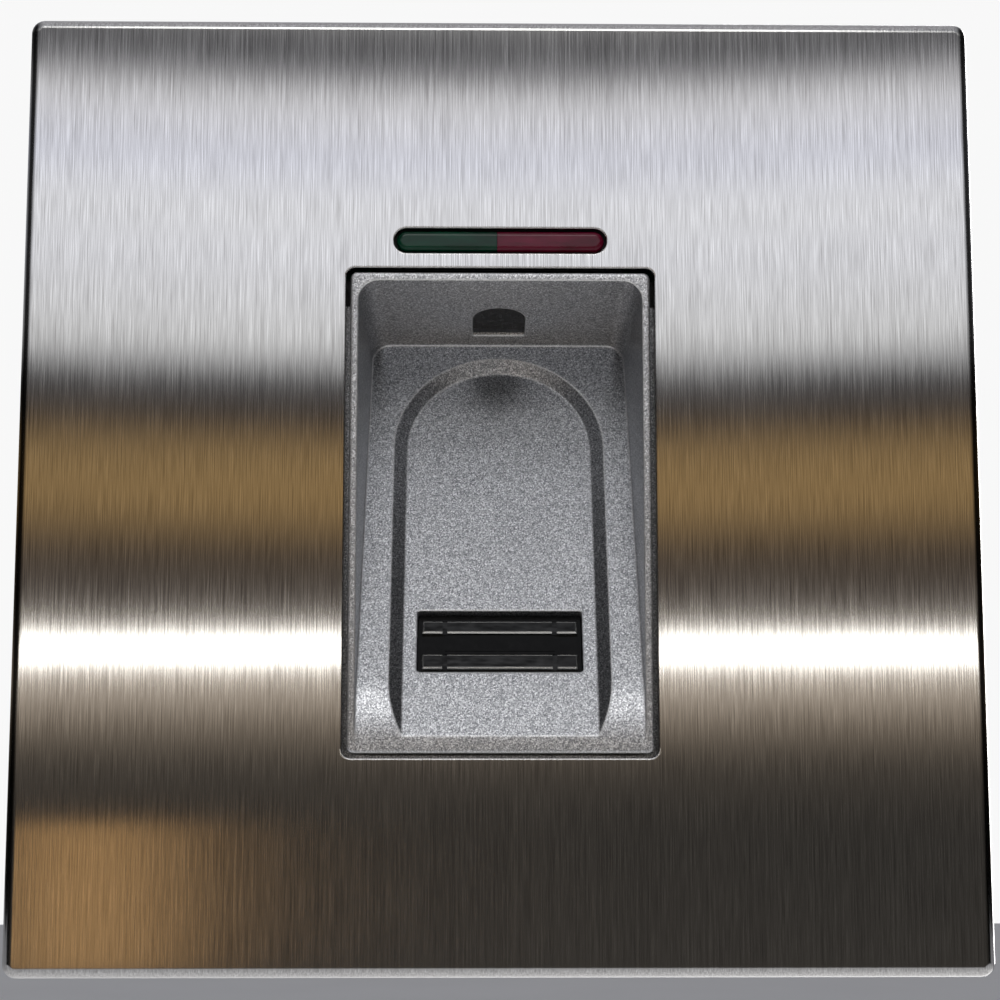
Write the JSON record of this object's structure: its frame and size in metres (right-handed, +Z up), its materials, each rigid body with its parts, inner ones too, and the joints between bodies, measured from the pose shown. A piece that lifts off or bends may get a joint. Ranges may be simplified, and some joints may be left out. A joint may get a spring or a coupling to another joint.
{
  "type": "fingerprint scanner terminal",
  "caption": "Flush-mounted fingerprint reader: square brushed steel cover plate, silver sloped finger guide with swipe sensor, green and red status light bar, rear case with plug-in terminals.",
  "frame": {"origin": "centre of the cover plate on the wall surface, midway between the two wall-box screw slots", "axes": "+Y into the wall, so the reader faces -Y; +Z up; +X to the right seen from the front"},
  "size_m": [0.086, 0.0425, 0.086],
  "materials": {
    "brushed_plate": "vertical brushed grain",
    "black_plastic": "fine mould texture",
    "frame_plastic": "satin moulded",
    "guide_paint": "fine textured silver metallic paint",
    "screw_steel": "zinc plated",
    "seal_foam": "closed-cell foam and rubber",
    "board_laminate": "green solder mask",
    "chip_epoxy": "moulded epoxy",
    "can_metal": "drawn can",
    "contact_metal": "tinned contact",
    "terminal_plastic": "green polyamide",
    "terminal_steel": "zinc plated",
    "green_lens": "tinted glossy",
    "red_lens": "tinted glossy",
    "led_body": "white LED package",
    "flex_film": "polyimide film",
    "smoked_window": "smoked infrared filter",
    "sensor_epoxy": "polished black epoxy",
    "sensor_metal": "dark polished drive bar"
  },
  "bodies": {
    "reader": {"support_frame": "frame_plastic", "wall_seal": "seal_foam", "finger_guide": "guide_paint", "guide_seal": "seal_foam", "guide_screws": "screw_steel", "guide_window": "smoked_window", "rear_case": "black_plastic", "case_seal": "seal_foam", "case_screws": "screw_steel", "main_board": "board_laminate", "board_screws": "screw_steel", "processor_chip": "chip_epoxy", "memory_chip": "chip_epoxy", "transceiver_chip": "chip_epoxy", "regulator_chip": "chip_epoxy", "crystal": "can_metal", "capacitors": "can_metal", "power_inductor": "chip_epoxy", "buzzer": "chip_epoxy", "flex_connector": "black_plastic", "terminal_header": "terminal_plastic", "header_pins": "contact_metal", "light_board": "board_laminate", "light_board_screws": "screw_steel", "light_board_pins": "contact_metal", "lens_holder": "black_plastic", "green_lens": "green_lens", "red_lens": "red_lens", "green_leds": "led_body", "red_leds": "led_body", "tamper_sensor": "chip_epoxy", "service_switch": "chip_epoxy", "side_board": "board_laminate", "guide_led": "led_body", "sensor_package": "sensor_epoxy", "sensor_strip": "sensor_epoxy", "sensor_bar_upper": "sensor_metal", "sensor_bar_lower": "sensor_metal", "sensor_gasket": "seal_foam", "sensor_holder": "black_plastic", "sensor_screws": "screw_steel", "sensor_flex": "flex_film"},
    "cover": {"cover_plate": "brushed_plate", "plate_carrier": "black_plastic"},
    "service_button": {"service_button": "frame_plastic"},
    "plug": {"terminal_plug": "terminal_plastic", "plug_contacts": "contact_metal"},
    "terminal_screw_1": {"terminal_screw_1": "terminal_steel"},
    "terminal_cage_1": {"terminal_cage_1": "terminal_steel"},
    "terminal_screw_2": {"terminal_screw_2": "terminal_steel"},
    "terminal_cage_2": {"terminal_cage_2": "terminal_steel"},
    "terminal_screw_3": {"terminal_screw_3": "terminal_steel"},
    "terminal_cage_3": {"terminal_cage_3": "terminal_steel"},
    "terminal_screw_4": {"terminal_screw_4": "terminal_steel"},
    "terminal_cage_4": {"terminal_cage_4": "terminal_steel"}
  },
  "joints": [
    {"name": "cover_pull_off", "type": "slide", "parent": "reader", "child": "cover", "axis": [0, -1, 0], "range_m": [0, 0.012]},
    {"name": "service_button_press", "type": "slide", "parent": "reader", "child": "service_button", "axis": [0, 1, 0], "range_m": [0, 0.00025], "stiffness_N_per_m": 4000},
    {"name": "plug_pull_off", "type": "slide", "parent": "reader", "child": "plug", "axis": [0, 1, 0], "range_m": [0, 0.009]},
    {"name": "terminal_cage_rise_1", "type": "slide", "parent": "plug", "child": "terminal_cage_1", "axis": [0, 0, -1], "range_m": [0, 0.0012]},
    {"name": "terminal_screw_turn_1", "type": "hinge", "parent": "plug", "child": "terminal_screw_1", "pos_m": [-0.00525, 0.02819, -0.02], "axis": [0, 0, 1], "range_deg": [0, 1080.1]},
    {"name": "terminal_cage_rise_2", "type": "slide", "parent": "plug", "child": "terminal_cage_2", "axis": [0, 0, -1], "range_m": [0, 0.0012]},
    {"name": "terminal_screw_turn_2", "type": "hinge", "parent": "plug", "child": "terminal_screw_2", "pos_m": [-0.00175, 0.02819, -0.02], "axis": [0, 0, 1], "range_deg": [0, 1080.1]},
    {"name": "terminal_cage_rise_3", "type": "slide", "parent": "plug", "child": "terminal_cage_3", "axis": [0, 0, -1], "range_m": [0, 0.0012]},
    {"name": "terminal_screw_turn_3", "type": "hinge", "parent": "plug", "child": "terminal_screw_3", "pos_m": [0.00175, 0.02819, -0.02], "axis": [0, 0, 1], "range_deg": [0, 1080.1]},
    {"name": "terminal_cage_rise_4", "type": "slide", "parent": "plug", "child": "terminal_cage_4", "axis": [0, 0, -1], "range_m": [0, 0.0012]},
    {"name": "terminal_screw_turn_4", "type": "hinge", "parent": "plug", "child": "terminal_screw_4", "pos_m": [0.00525, 0.02819, -0.02], "axis": [0, 0, 1], "range_deg": [0, 1080.1]}
  ],
  "couplings": [
    {"joint": "terminal_screw_turn_1", "follows": "terminal_cage_rise_1", "rad_per_m": 15708},
    {"joint": "terminal_screw_turn_2", "follows": "terminal_cage_rise_2", "rad_per_m": 15708},
    {"joint": "terminal_screw_turn_3", "follows": "terminal_cage_rise_3", "rad_per_m": 15708},
    {"joint": "terminal_screw_turn_4", "follows": "terminal_cage_rise_4", "rad_per_m": 15708}
  ]
}
